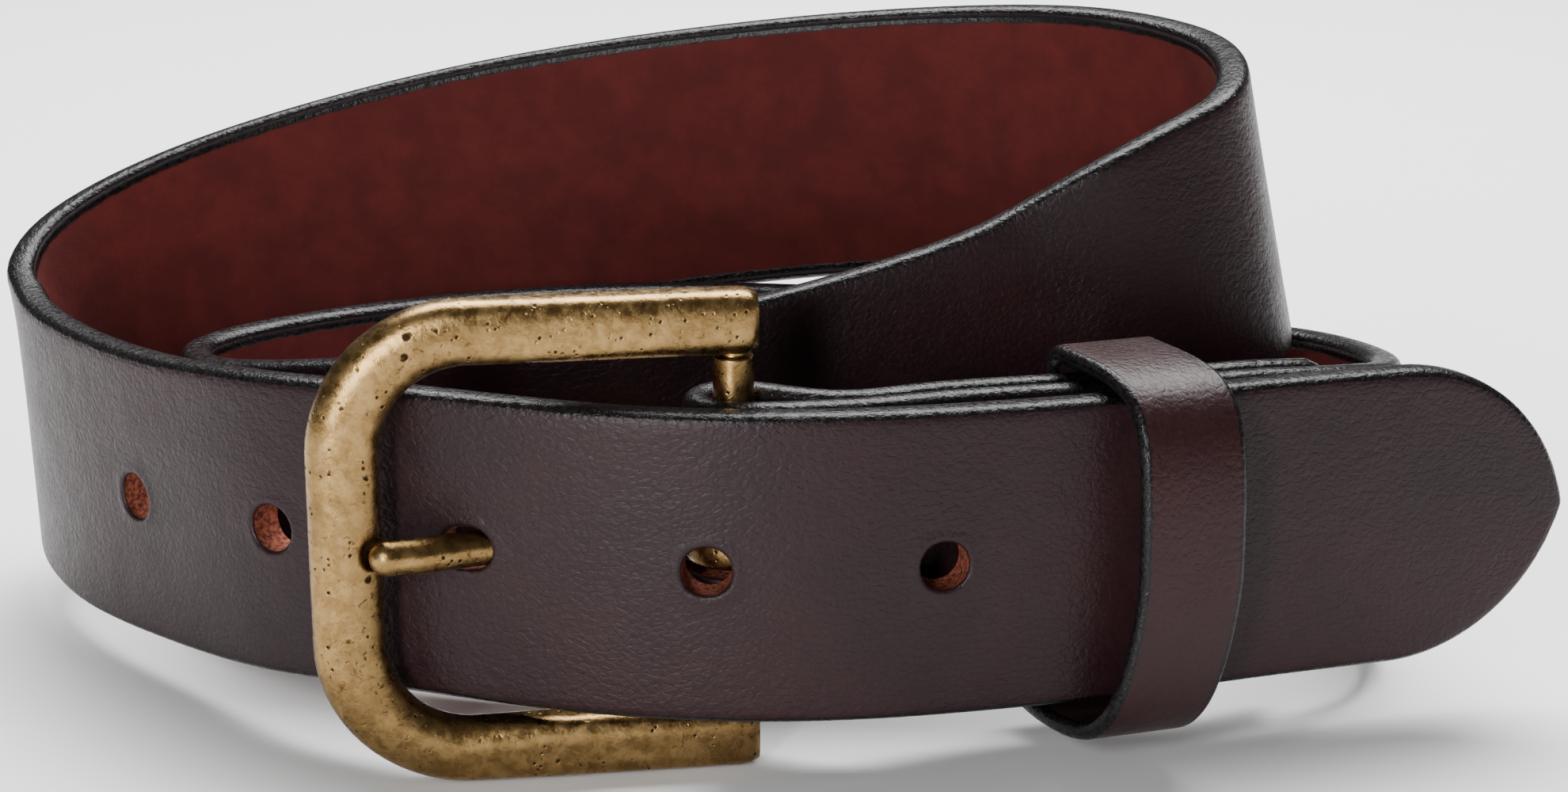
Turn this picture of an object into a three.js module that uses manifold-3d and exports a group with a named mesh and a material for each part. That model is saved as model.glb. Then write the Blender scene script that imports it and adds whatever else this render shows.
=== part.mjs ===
// A man's leather belt, buckled and wound into two turns, standing on its edge.
// Millimetres, +Z up. The buckle is at the front (-Y) and its front bar points to -X.
// The belt is drawn around the heel bar's place and shifted at the end, so that the
// finished part stands on Z = 0 with the centre of its footprint at the origin.

import * as THREE from "three";
import { mergeVertices } from "three/addons/utils/BufferGeometryUtils.js";
import Module from "manifold-3d";

const wasm = await Module();
wasm.setup();

// Driving dimensions
const GAP = 0.3;                 // clearance between neighbouring pieces
const STRAP_WIDTH = 35;          // 1 3/8 inch strapping
const STRAP_THICK = 4;
const SKIVED_THICK = 3;          // pared down where the strap is folded over the heel bar
const HOLE_PITCH = 25.4;         // holes one inch apart
const HOLE_RADIUS = 2.75;
const TIP_LENGTH = 22;           // length over which the tip narrows to its point

const FRAME_HEIGHT = 55.2;
const BAR = new THREE.Vector3(-2.5, 8, FRAME_HEIGHT / 2);   // middle of the heel bar
const BAR_RADIUS = 2.25;
const TENON_RADIUS = 1.4;        // the bar's ends, riveted into the arms
const TENON_LENGTH = 3.8;
const FRAME_TILT = THREE.MathUtils.degToRad(9);
const FRAME_REACH = 46.4;          // heel bar axis to the outer face of the front bar
const FRAME_TAIL = 2.5;          // how far the arms pass the heel bar axis
const ARM_WIDTH = 7.2;
const FRONT_BAR_WIDTH = 7.9;
const FRAME_DEPTH = 5.6;
const FRAME_CORNER = 17;
const FRAME_EDGE = 1.5;          // rounding of the frame's edges
const NOTCH_FRONT = -3.3;        // axis of the front bar's notch for the prong's tip
const NOTCH_FROM = -38.6;        // middle of the notch's round end
const NOTCH_TO = -34;

const PRONG_RADIUS = 2;
const NOTCH_RADIUS = PRONG_RADIUS + 0.4;
const SWING_TOTAL = 5;           // degrees that frame and prong can swing out together
const EYE_HEIGHT = 4;            // the prong's eye, along the heel bar
const EYE_WALL = 2.9;
const EYE_EDGE = 0.7;
const EYE_DROP = 1.2;            // how far the eye hangs below the middle of the heel bar
const FOLD_SLOT_HEIGHT = 5.4;
const FOLD_SLOT_REACH = 9;       // how far the slot runs from the heel bar
const FOLD_SLOT_RADIUS = 5.7;
const SLOT_DROP = 0.8;           // how far below the bar's middle the prong passes the strap

const KEEPER_CENTRE = new THREE.Vector3(41, 12.7, 24.8);
const KEEPER_TURN = THREE.MathUtils.degToRad(18);
const KEEPER_WIDTH = 12.3;
const KEEPER_THICK = 2;
const KEEPER_HALF_HEIGHT = 20.3;   // middle of its wall above and below the strap's middle
const KEEPER_BACK = 8.8;         // middle of its back wall behind its centre
const KEEPER_FRONT = 12.5;       // middle of its front wall before its centre
const KEEPER_CORNER = 2.6;       // bend between its back and its top and bottom
const KEEPER_SHOULDER = 10.5;       // how far forward its top runs before it bends down
const KEEPER_LEAN = 2.5;         // how far its front is pushed towards the tip
const KEEPER_DROOP = 3.8;        // how far its lower end trails towards the buckle

const SCREW_HEAD_RADIUS = 4;
const SCREW_CROWN_RADIUS = 2.8;  // flat top of the head, inside its bevel
const SCREW_HEAD = 0.9;
const SCREW_HEAD_RIM = 0.4;      // height of the head's edge below its bevel
const SCREW_POST_RADIUS = 2.4;
const SCREW_SHANK_RADIUS = 1.3;
const STAPLE_RADIUS = 0.5;
const STAPLE_SPAN = 7;

// The strap's middle line, from the tip to the fold: place, lean of its wall in degrees
// (positive tips the upper edge towards the flesh side) and thickness.
const FRONT_AND_COILS = [
  [92.8, 27.9, 24.4, 0, STRAP_THICK],    // tip
  [60, 15.5, 25.5, 1, STRAP_THICK],
  [30, 5.2, 25.8, 1, STRAP_THICK],
  [5.5, 0, 26.2, 1, STRAP_THICK],        // over the heel bar
  [-15, 1.3, 26.3, 1, STRAP_THICK],
  [-43, 9.8, 26.5, 1, STRAP_THICK],      // behind the buckle's front bar
  [-54.5, 15.8, 25.7, 0.7, STRAP_THICK],
  [-68.3, 28.7, 23.9, -0.8, STRAP_THICK],
  [-81.9, 44.6, 23, 0, STRAP_THICK],
  [-89.4, 57.7, 23.5, -1.8, STRAP_THICK],
  [-91.3, 66.4, 25, -2.5, STRAP_THICK],  // left end of the outer turn
  [-89.7, 73.5, 27.7, -3.5, STRAP_THICK],
  [-83.7, 80.6, 31.5, -5.2, STRAP_THICK],
  [-68.7, 88.5, 37, -7.4, STRAP_THICK],
  [-36.5, 95, 44.8, -7.6, STRAP_THICK],
  [8.5, 94, 51.4, -4.5, STRAP_THICK],
  [41.5, 85.5, 54.2, 1.5, STRAP_THICK],
  [56.7, 71, 54.2, 8, STRAP_THICK],
  [60.3, 57, 53.3, 11.5, STRAP_THICK],   // right end, riding on the inner turn
  [57.7, 46.5, 51.2, 10, STRAP_THICK],
  [48.5, 40.2, 47, 6, STRAP_THICK],
  [32.5, 37, 38.6, 4, STRAP_THICK],
  [7.5, 32.5, 31.3, 3, STRAP_THICK],
  [-21, 30, 26, 0, STRAP_THICK],
  [-46, 33, 22.3, -1, STRAP_THICK],
  [-65.5, 44.5, 18.8, 0, STRAP_THICK],
  [-69, 58, 17.5, 0, STRAP_THICK],       // left end of the inner turn, on the table
  [-48, 75, 17.5, 0, STRAP_THICK],
  [-13.5, 84, 17.5, 0, STRAP_THICK],
  [22, 79.5, 17.5, 0, STRAP_THICK],
  [50, 69.5, 17.5, 0, STRAP_THICK],
  [68.5, 58, 18.3, 0, STRAP_THICK],      // under the outer turn
  [74, 41, 20.5, 0, STRAP_THICK],        // right end of the inner turn
  [71.5, 30.5, 22.3, 0, 3.6],
  [64.5, 23.5, 24.1, 0, SKIVED_THICK],
];

// The underlap: the stretch behind the front strap that is folded over the heel bar
const UNDERLAP = [
  [57, 19.9, 25, 0, SKIVED_THICK],
  [50, 17.2, 25.3, 0, SKIVED_THICK],
  [38, 13.6, 25.5, 0, SKIVED_THICK],
  [22, 8.9, 25.9, 0, SKIVED_THICK],
  [10, 5.1, 26, 0, SKIVED_THICK],
];
const SCREW_STATIONS = [26, 56.5];       // X of the two screws along the underlap
const PLY_SPACING = SKIVED_THICK + 0.4;  // middle to middle of the folded plies

// Solids and booleans
function solid(geometry) {
  const bare = geometry.clone();
  bare.deleteAttribute("normal");
  bare.deleteAttribute("uv");
  const merged = mergeVertices(bare, 1e-4);
  return new wasm.Manifold(new wasm.Mesh({
    numProp: 3,
    vertProperties: new Float32Array(merged.attributes.position.array),
    triVerts: new Uint32Array(merged.index.array),
  }));
}

function geometryOf(manifold) {
  const mesh = manifold.getMesh();
  const geometry = new THREE.BufferGeometry();
  geometry.setAttribute("position", new THREE.BufferAttribute(mesh.vertProperties, 3));
  geometry.setIndex(new THREE.BufferAttribute(mesh.triVerts, 1));
  geometry.computeVertexNormals();
  return geometry;
}

function placed(geometry, matrix) {
  return solid(geometry.clone().applyMatrix4(matrix));
}

// Joins rings of corners into one closed skin; a looped skin has no end caps
function loft(rings, looped = false) {
  const corners = rings[0].length;
  const positions = rings.flat().flatMap((p) => [p.x, p.y, p.z]);
  const faces = [];
  const spans = looped ? rings.length : rings.length - 1;
  for (let i = 0; i < spans; i++) {
    const here = i * corners;
    const next = ((i + 1) % rings.length) * corners;
    for (let j = 0; j < corners; j++) {
      const k = (j + 1) % corners;
      faces.push(here + j, here + k, next + k, here + j, next + k, next + j);
    }
  }
  if (!looped) {
    const last = (rings.length - 1) * corners;
    for (let j = 1; j < corners - 1; j++) {
      faces.push(0, j + 1, j, last, last + j, last + j + 1);
    }
  }
  const geometry = new THREE.BufferGeometry();
  geometry.setAttribute("position", new THREE.Float32BufferAttribute(positions, 3));
  geometry.setIndex(faces);
  return geometry;
}

// A profile of [radius, height] pairs turned about the Z axis
function turned(profile, segments) {
  const points = profile.map(([radius, height]) => new THREE.Vector2(radius, height));
  return new THREE.LatheGeometry(points, segments).rotateX(Math.PI / 2);
}

// The strap's route
const UP = new THREE.Vector3(0, 0, 1);

function foldStations() {
  const radius = BAR_RADIUS + GAP + SKIVED_THICK / 2;
  const stations = [];
  for (let angle = -90; angle >= -270; angle -= 36) {
    const a = THREE.MathUtils.degToRad(angle);
    stations.push([BAR.x + radius * Math.cos(a), BAR.y + radius * Math.sin(a), 26, 0, SKIVED_THICK]);
  }
  return stations;
}

function turnbackStations() {
  const ends = [...UNDERLAP].reverse();
  ends.push([63.5, 22.9, 24.2, 0, SKIVED_THICK]);
  return ends.map(([x, y, z, lean, thick]) => [
    x - PLY_SPACING * Math.sin(KEEPER_TURN),
    y + PLY_SPACING * Math.cos(KEEPER_TURN),
    z, lean, thick,
  ]);
}

class StrapRoute {
  constructor(stations) {
    this.count = stations.length;
    this.line = new THREE.CatmullRomCurve3(
      stations.map(([x, y, z]) => new THREE.Vector3(x, y, z)), false, "centripetal");
    this.extras = new THREE.CatmullRomCurve3(
      stations.map((s) => new THREE.Vector3(s[3], s[4], 0)), false, "catmullrom", 0.5);
  }

  // t runs from 0 to 1 with one even share for each stretch between stations
  at(t) {
    const origin = this.line.getPoint(t);
    origin.z = Math.max(origin.z, STRAP_WIDTH / 2);
    const along = this.line.getTangent(t);
    const extras = this.extras.getPoint(t);
    const upright = UP.clone().addScaledVector(along, -UP.dot(along)).normalize();
    const inward = along.clone().cross(upright);
    const lean = THREE.MathUtils.degToRad(extras.x);
    const width = upright.clone().multiplyScalar(Math.cos(lean)).addScaledVector(inward, Math.sin(lean));
    const outward = along.clone().cross(width).negate();
    return { origin, along, width, outward, thick: extras.y };
  }

  matrix(t) {
    const s = this.at(t);
    return new THREE.Matrix4().makeBasis(s.along, s.width, s.outward.clone().negate()).setPosition(s.origin);
  }

  // The t at which the line passes a given X, searched between two stations
  atX(x, from, to) {
    let low = from / (this.count - 1);
    let high = to / (this.count - 1);
    const rising = this.line.getPoint(high).x > this.line.getPoint(low).x;
    for (let i = 0; i < 40; i++) {
      const middle = (low + high) / 2;
      if ((this.line.getPoint(middle).x < x) === rising) low = middle;
      else high = middle;
    }
    return (low + high) / 2;
  }

  // The t reached from a given t by going a distance along the line
  travel(t, distance) {
    const step = 0.0002 * Math.sign(distance);
    let left = Math.abs(distance);
    let here = this.line.getPoint(t);
    while (left > 0) {
      t += step;
      const next = this.line.getPoint(t);
      left -= next.distanceTo(here);
      here = next;
    }
    return t;
  }
}

const fold = foldStations();
const turnback = turnbackStations();
const route = new StrapRoute([...FRONT_AND_COILS, ...UNDERLAP, ...fold, ...turnback]);
const UNDERLAP_START = FRONT_AND_COILS.length - 1;
const FOLD_START = FRONT_AND_COILS.length + UNDERLAP.length;

// Prong: drawn in the buckle's own frame, heel bar along Z, front bar towards -X
const PRONG_LINE = [
  [-3.2, 1.2, -EYE_DROP], [-8, 2, -EYE_DROP], [-13, 2.5, -1.15], [-18, 2.5, -1.05], [-23, 1.9, -0.9],
  [-27.5, 0.6, -0.7], [-31.5, -1.1, -0.45], [-35, -2.5, -0.2], [-38.1, NOTCH_FRONT, 0],
].map(([x, y, z]) => new THREE.Vector3(x, y, z));

function prongGeometry() {
  const line = new THREE.CatmullRomCurve3(PRONG_LINE);
  const section = new THREE.Shape().absarc(0, 0, PRONG_RADIUS, 0, 2 * Math.PI);
  const shank = new THREE.ExtrudeGeometry(section, { steps: 24, curveSegments: 6, extrudePath: line });
  const tip = new THREE.SphereGeometry(PRONG_RADIUS, 12, 8);
  const inner = BAR_RADIUS + GAP;
  const outer = inner + EYE_WALL;
  const half = EYE_HEIGHT / 2;
  const eye = turned([
    [inner, -half], [outer - EYE_EDGE, -half], [outer, EYE_EDGE - half],
    [outer, half - EYE_EDGE], [outer - EYE_EDGE, half], [inner, half], [inner, -half],
  ], 24);
  eye.translate(0, 0, -EYE_DROP);
  const bore = new THREE.CylinderGeometry(inner, inner, 2 * EYE_HEIGHT, 24).rotateX(Math.PI / 2);
  const end = PRONG_LINE[PRONG_LINE.length - 1];
  return geometryOf(solid(shank)
    .add(placed(tip, new THREE.Matrix4().makeTranslation(end)))
    .add(solid(eye))
    .subtract(solid(bore)));
}

const buckleMatrix = new THREE.Matrix4().makeRotationZ(FRAME_TILT).setPosition(BAR);

// Cutters for the strap
const PUNCH_LENGTH = 10;

function punch(t, radius) {
  const cylinder = new THREE.CylinderGeometry(radius, radius, PUNCH_LENGTH, 20).rotateX(Math.PI / 2);
  return placed(cylinder, route.matrix(t));
}

function tipTrim() {
  const reach = STRAP_WIDTH / 2;
  const radius = (TIP_LENGTH ** 2 + reach ** 2) / (2 * reach);
  const sweep = Math.asin(TIP_LENGTH / radius);
  const outline = new THREE.Shape();
  const far = TIP_LENGTH + 1;
  const spare = 5;
  outline.moveTo(far, reach + spare);
  outline.lineTo(-spare, reach + spare);
  outline.lineTo(-spare, -reach - spare);
  outline.lineTo(far, -reach - spare);
  outline.lineTo(far, -reach);
  outline.absarc(TIP_LENGTH, radius - reach, radius, -Math.PI / 2, -Math.PI / 2 - sweep, true);
  outline.absarc(TIP_LENGTH, reach - radius, radius, Math.PI / 2 + sweep, Math.PI / 2, true);
  outline.lineTo(far, reach);
  const depth = 3 * STRAP_THICK;
  const block = new THREE.ExtrudeGeometry(outline, { depth, bevelEnabled: false, curveSegments: 10 });
  block.translate(0, 0, -depth / 2);
  return placed(block, route.matrix(0));
}

// The prong's hole in the front strap, pulled long by the slanting prong and its swing:
// everything between the prong's back at rest and its front when fully swung out
function prongSlot() {
  const reach = PRONG_RADIUS + 1.5 * GAP;
  const line = new THREE.CatmullRomCurve3(PRONG_LINE);
  const pivot = new THREE.Vector2();
  const side = (turn, offset) => [0, 0.15, 0.3, 0.45, 0.6, 0.75, 0.9, 1].map((u) => {
    const p = line.getPoint(u);
    const along = line.getTangent(u);
    const edge = new THREE.Vector2(p.x + offset * along.y, p.y - offset * along.x);
    return edge.rotateAround(pivot, THREE.MathUtils.degToRad(turn));
  });
  const outline = new THREE.Shape([...side(0, reach), ...side(SWING_TOTAL, -reach).reverse()]);
  const block = new THREE.ExtrudeGeometry(outline, { depth: 2 * reach, bevelEnabled: false });
  block.translate(0, 0, -reach - SLOT_DROP);
  return placed(block, buckleMatrix);
}

// The slot in the fold that the prong's eye turns in: round about the heel bar, then
// straight towards the underlap with a round end, and clear of the front strap
function foldSlot() {
  const height = FOLD_SLOT_HEIGHT;
  const depth = 20;
  const eye = new THREE.CylinderGeometry(FOLD_SLOT_RADIUS, FOLD_SLOT_RADIUS, height, 32).rotateX(Math.PI / 2);
  const run = new THREE.BoxGeometry(FOLD_SLOT_REACH, depth, height);
  const end = new THREE.CylinderGeometry(height / 2, height / 2, depth, 16);
  run.translate(FOLD_SLOT_REACH / 2, depth / 2 - FOLD_SLOT_RADIUS, 0);
  end.translate(FOLD_SLOT_REACH, depth / 2 - FOLD_SLOT_RADIUS, 0);
  const place = new THREE.Matrix4().makeTranslation(BAR.x, BAR.y, BAR.z - EYE_DROP);
  return placed(eye, place).add(placed(run, place)).add(placed(end, place));
}

function strapGeometry() {
  const rings = [];
  const steps = 4 * (route.count - 1);
  for (let i = 0; i <= steps; i++) {
    const s = route.at(i / steps);
    const corner = (w, o) => s.origin.clone()
      .addScaledVector(s.width, w * STRAP_WIDTH / 2)
      .addScaledVector(s.outward, o * s.thick / 2);
    rings.push([corner(-1, 1), corner(1, 1), corner(1, -1), corner(-1, -1)]);
  }
  const prongHole = route.atX(-30, 4, 5);
  let strap = solid(loft(rings)).subtract(tipTrim()).subtract(prongSlot()).subtract(foldSlot());
  for (const count of [-2, -1, 1, 2]) {
    strap = strap.subtract(punch(route.travel(prongHole, count * HOLE_PITCH), HOLE_RADIUS));
  }
  for (const x of SCREW_STATIONS) {
    strap = strap.subtract(punchUnderlap(x));
  }
  return geometryOf(strap);
}

// Chicago screws: a post through both plies from the front and a cap screwed in from behind
function screwMatrix(x) {
  const t = route.atX(x, UNDERLAP_START - 1, FOLD_START - 1);
  const s = route.at(t);
  return new THREE.Matrix4().makeBasis(s.along, s.width.clone().negate(), s.outward).setPosition(s.origin);
}

function punchUnderlap(x) {
  const radius = SCREW_POST_RADIUS + GAP;
  const cylinder = new THREE.CylinderGeometry(radius, radius, PUNCH_LENGTH, 20).rotateX(Math.PI / 2);
  cylinder.translate(0, 0, -PLY_SPACING / 2);
  return placed(cylinder, screwMatrix(x));
}

// A screw's own frame: Z across the plies, with the front of the underlap at +Z
const PLY_FRONT = SKIVED_THICK / 2;
const SHANK_END = PLY_FRONT - 1;
const PLY_BACK = -PLY_SPACING - SKIVED_THICK / 2;

function postGeometry() {
  const top = PLY_FRONT + GAP;
  const foot = PLY_BACK + GAP;
  const boreEnd = top - SCREW_HEAD / 2;
  const bore = SCREW_SHANK_RADIUS + GAP;
  return turned([
    [0, top + SCREW_HEAD], [0, boreEnd], [bore, boreEnd], [bore, foot],
    [SCREW_POST_RADIUS, foot], [SCREW_POST_RADIUS, top], [SCREW_HEAD_RADIUS, top],
    [SCREW_HEAD_RADIUS, top + SCREW_HEAD_RIM], [SCREW_CROWN_RADIUS, top + SCREW_HEAD], [0, top + SCREW_HEAD],
  ], 24);
}

function capGeometry() {
  const seat = PLY_BACK - GAP;
  return turned([
    [0, seat - SCREW_HEAD], [SCREW_CROWN_RADIUS, seat - SCREW_HEAD],
    [SCREW_HEAD_RADIUS, seat - SCREW_HEAD_RIM], [SCREW_HEAD_RADIUS, seat],
    [SCREW_SHANK_RADIUS, seat], [SCREW_SHANK_RADIUS, SHANK_END], [0, SHANK_END],
  ], 24);
}

// Buckle frame: a C in its own XZ plane, open where the heel bar closes it
function frameGeometry() {
  const high = FRAME_HEIGHT / 2 - FRAME_EDGE;
  const low = FRAME_HEIGHT / 2 - ARM_WIDTH + FRAME_EDGE;
  const outX = FRAME_REACH - FRAME_EDGE;
  const inX = FRAME_REACH - FRONT_BAR_WIDTH + FRAME_EDGE;
  const tail = FRAME_TAIL - FRAME_EDGE;
  const outR = FRAME_CORNER - FRAME_EDGE;
  const inR = FRAME_CORNER - ARM_WIDTH + FRAME_EDGE;
  const outline = new THREE.Shape();
  outline.moveTo(tail, high);
  outline.lineTo(outR - outX, high);
  outline.absarc(outR - outX, high - outR, outR, Math.PI / 2, Math.PI, false);
  outline.absarc(outR - outX, outR - high, outR, Math.PI, 1.5 * Math.PI, false);
  outline.lineTo(tail, -high);
  outline.lineTo(tail, -low);
  outline.absarc(inR - inX, inR - low, inR, 1.5 * Math.PI, Math.PI, true);
  outline.absarc(inR - inX, low - inR, inR, Math.PI, Math.PI / 2, true);
  outline.lineTo(tail, low);
  const plate = new THREE.ExtrudeGeometry(outline, {
    depth: FRAME_DEPTH - 2 * FRAME_EDGE,
    bevelThickness: FRAME_EDGE,
    bevelSize: FRAME_EDGE,
    bevelSegments: 2,
    curveSegments: 8,
  });
  plate.translate(0, 0, FRAME_EDGE - FRAME_DEPTH / 2);
  plate.rotateX(Math.PI / 2);
  const holeLength = 2 * (FRAME_HEIGHT / 2 - ARM_WIDTH + TENON_LENGTH + GAP);
  const barHole = new THREE.CylinderGeometry(TENON_RADIUS + GAP, TENON_RADIUS + GAP, holeLength, 16)
    .rotateX(Math.PI / 2);
  const line = new THREE.LineCurve3(
    new THREE.Vector3(NOTCH_FROM, NOTCH_FRONT, 0), new THREE.Vector3(NOTCH_TO, NOTCH_FRONT, 0));
  const section = new THREE.Shape().absarc(0, 0, NOTCH_RADIUS, 0, 2 * Math.PI);
  const notch = new THREE.ExtrudeGeometry(section, { steps: 1, curveSegments: 8, extrudePath: line });
  const notchEnd = new THREE.SphereGeometry(NOTCH_RADIUS, 16, 12);
  notchEnd.translate(NOTCH_FROM, NOTCH_FRONT, 0);
  return geometryOf(solid(plate).subtract(solid(barHole)).subtract(solid(notch)).subtract(solid(notchEnd)));
}

function barGeometry() {
  const shoulder = FRAME_HEIGHT / 2 - ARM_WIDTH - GAP;
  const end = shoulder + TENON_LENGTH;
  return turned([
    [0, -end], [TENON_RADIUS, -end], [TENON_RADIUS, -shoulder], [BAR_RADIUS, -shoulder],
    [BAR_RADIUS, shoulder], [TENON_RADIUS, shoulder], [TENON_RADIUS, end], [0, end],
  ], 16);
}

// Keeper: a loose leather loop around the strap. Its own frame has X along the strap,
// and its front wall stands well off the strap and is pushed towards the tip.
function keeperSpot(angle) {
  const height = KEEPER_HALF_HEIGHT;
  const path = new THREE.Path();
  const r = KEEPER_CORNER;
  path.moveTo(KEEPER_BACK, 0);
  path.lineTo(KEEPER_BACK, height - r);
  path.absarc(KEEPER_BACK - r, height - r, r, 0, Math.PI / 2, false);
  path.bezierCurveTo(-KEEPER_SHOULDER, height + 1, -KEEPER_FRONT, height - 1, -KEEPER_FRONT, 0);
  path.bezierCurveTo(-KEEPER_FRONT, 1 - height, -KEEPER_SHOULDER, -height - 1, KEEPER_BACK - r, -height);
  path.absarc(KEEPER_BACK - r, r - height, r, -Math.PI / 2, 0, false);
  path.closePath();
  const p = path.getPointAt(angle);
  const tangent = path.getTangentAt(angle);
  return { p, outward: new THREE.Vector2(tangent.y, -tangent.x) };
}

function keeperGeometry() {
  const rings = [];
  const steps = 48;
  for (let i = 0; i < steps; i++) {
    const { p, outward } = keeperSpot(i / steps);
    const share = THREE.MathUtils.smoothstep(KEEPER_BACK - p.x, 2, KEEPER_BACK + KEEPER_FRONT);
    const trail = KEEPER_DROOP * Math.max(0, -p.y / KEEPER_HALF_HEIGHT) ** 1.5;
    const corner = (x, o) => new THREE.Vector3(
      share * KEEPER_LEAN - trail + x * KEEPER_WIDTH / 2,
      p.x + outward.x * o * KEEPER_THICK / 2,
      p.y + outward.y * o * KEEPER_THICK / 2);
    rings.push([corner(1, -1), corner(1, 1), corner(-1, 1), corner(-1, -1)]);
  }
  let keeper = solid(loft(rings, true));
  for (const side of [-1, 1]) {
    const hole = new THREE.CylinderGeometry(STAPLE_RADIUS + GAP, STAPLE_RADIUS + GAP, 6, 10);
    hole.translate(0, KEEPER_BACK, side * STAPLE_SPAN / 2);
    keeper = keeper.subtract(solid(hole));
  }
  return geometryOf(keeper);
}

// The staple that closes the keeper: its crown lies outside the back wall
function stapleGeometry() {
  const crown = KEEPER_BACK + KEEPER_THICK / 2 + GAP + STAPLE_RADIUS;
  const inside = KEEPER_BACK - KEEPER_THICK / 2 + 0.2;
  const half = STAPLE_SPAN / 2;
  const wire = (from, to) => {
    const line = new THREE.LineCurve3(new THREE.Vector3(0, ...from), new THREE.Vector3(0, ...to));
    const section = new THREE.Shape().absarc(0, 0, STAPLE_RADIUS, 0, 2 * Math.PI);
    return solid(new THREE.ExtrudeGeometry(section, { steps: 1, curveSegments: 5, extrudePath: line }));
  };
  const staple = wire([crown, -half - STAPLE_RADIUS], [crown, half + STAPLE_RADIUS])
    .add(wire([inside, -half], [crown, -half]))
    .add(wire([inside, half], [crown, half]));
  return geometryOf(staple);
}

// Materials
function material(colour, roughness, metalness) {
  return new THREE.MeshStandardMaterial({ color: colour, roughness, metalness });
}

const darkLeather = () => material(0x3a2b2e, 0.45, 0);
const keeperLeather = () => material(0x46282a, 0.4, 0);
const antiqueBrass = () => material(0xa98b58, 0.38, 1);
const steel = () => material(0x8d8a84, 0.35, 1);

function named(name, geometry, mat) {
  const mesh = new THREE.Mesh(geometry, mat);
  mesh.name = name;
  return mesh;
}

const belt = new THREE.Group();
belt.add(named("strap", strapGeometry(), darkLeather()));

const buckle = new THREE.Group();
buckle.position.copy(BAR);
buckle.rotation.z = FRAME_TILT;
buckle.add(named("buckle_frame", frameGeometry(), antiqueBrass()));
buckle.add(named("heel_bar", barGeometry(), antiqueBrass()));
buckle.add(named("prong", prongGeometry(), antiqueBrass()));
belt.add(buckle);

const keeper = new THREE.Group();
keeper.position.copy(KEEPER_CENTRE);
keeper.rotation.z = KEEPER_TURN;
keeper.add(named("keeper_loop", keeperGeometry(), keeperLeather()));
keeper.add(named("keeper_staple", stapleGeometry(), steel()));
belt.add(keeper);

SCREW_STATIONS.forEach((x, i) => {
  const screw = new THREE.Group();
  screw.applyMatrix4(screwMatrix(x));
  screw.add(named(`screw_post_${i + 1}`, postGeometry(), antiqueBrass()));
  screw.add(named(`screw_cap_${i + 1}`, capGeometry(), antiqueBrass()));
  belt.add(screw);
});

const box = new THREE.Box3().setFromObject(belt, true);
const centre = box.getCenter(new THREE.Vector3());
belt.position.set(-centre.x, -centre.y, -box.min.z);

export default belt;
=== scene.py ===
# A man's leather belt, buckled and wound into two turns, standing on its edge.
# Shapes are worked out in millimetres in the frame the belt is drawn in, around the heel
# bar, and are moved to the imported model's frame, in metres, when a mesh is made.

import math

import bmesh
import bpy
import numpy as np
from mathutils import Euler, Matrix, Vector


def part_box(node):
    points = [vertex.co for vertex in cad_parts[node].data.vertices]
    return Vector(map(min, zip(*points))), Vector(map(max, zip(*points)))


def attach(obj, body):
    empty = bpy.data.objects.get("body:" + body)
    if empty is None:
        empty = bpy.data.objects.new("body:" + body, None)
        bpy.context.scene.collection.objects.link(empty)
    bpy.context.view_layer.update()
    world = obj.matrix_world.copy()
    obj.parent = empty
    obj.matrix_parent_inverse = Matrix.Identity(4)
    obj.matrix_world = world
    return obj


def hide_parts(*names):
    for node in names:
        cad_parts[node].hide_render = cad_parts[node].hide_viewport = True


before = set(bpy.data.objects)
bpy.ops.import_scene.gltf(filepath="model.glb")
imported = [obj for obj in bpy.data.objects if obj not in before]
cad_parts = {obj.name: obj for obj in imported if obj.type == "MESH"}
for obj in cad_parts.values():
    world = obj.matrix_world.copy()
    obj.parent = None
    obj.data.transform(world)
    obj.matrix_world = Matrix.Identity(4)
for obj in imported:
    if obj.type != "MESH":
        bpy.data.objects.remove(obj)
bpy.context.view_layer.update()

# Driving dimensions, millimetres and degrees
STRAP_WIDTH = 35
STRAP_THICK = 4
SKIVED_THICK = 3
GAP = 0.3
EDGE_ROLL = 1.25            # rounding of the strap's edges
EDGE_CROWN = 1.03           # the middle of an edge stands out by this factor
EDGE_FLAT = 0.2             # and is upright for at least this much on each side of it
TIP_LENGTH = 22
HOLE_PITCH = 25.4
HOLE_RADIUS = 2.75
HOLE_RIM = 0.13             # how far punching raised the leather round a hole
RIM_PLACE = 0.55            # where that rim is highest, from the hole's outline
RIM_SPREAD = 0.4
LIP_DEPTH = 0.22            # the outline itself is pressed in
LIP_SPREAD = 0.12
FLESH_RIM = 0.4             # share of the rim that shows on the flesh side
HOLE_MARGIN = 3.4           # how far the finer mesh reaches past a hole
HOLE_ROW_STEP = 1.5
ROW_STEP = 2.0
TIP_ROW_STEP = 1.0
EVEN_STRETCH = 20           # within this of a hole the rows are spread evenly
FLESH_OFFSET = 60           # keeps the flesh side's texture apart from the grain's

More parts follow.
